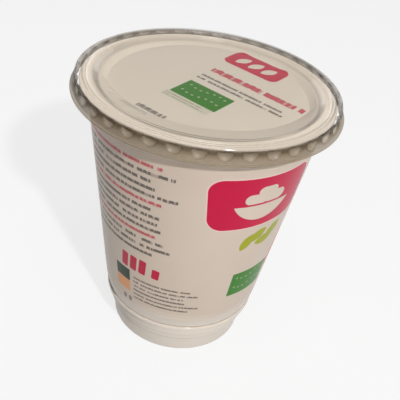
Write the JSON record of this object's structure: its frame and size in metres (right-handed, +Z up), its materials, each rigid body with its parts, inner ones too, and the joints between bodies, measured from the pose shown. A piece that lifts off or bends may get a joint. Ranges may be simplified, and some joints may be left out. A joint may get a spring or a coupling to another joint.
{
  "type": "soft cheese pot",
  "caption": "Tapered round plastic pot of soft cheese, sealed with a dished membrane, under a clear push-on overcap with a stacking ring and a lugged skirt.",
  "frame": {"origin": "centre of the foot, on the surface the pot stands on", "axes": "+Z up along the axis of the pot, -Y towards the front of its print"},
  "size_m": [0.098, 0.098, 0.1096],
  "materials": {
    "white_plastic": "thermoformed, satin, printed",
    "printed_membrane": "coated sheet, sealed to the rim, printed",
    "clear_plastic": "thermoformed clear sheet"
  },
  "bodies": {
    "root": {"pot": "white_plastic", "membrane": "printed_membrane", "overcap": "clear_plastic"}
  },
  "joints": []
}
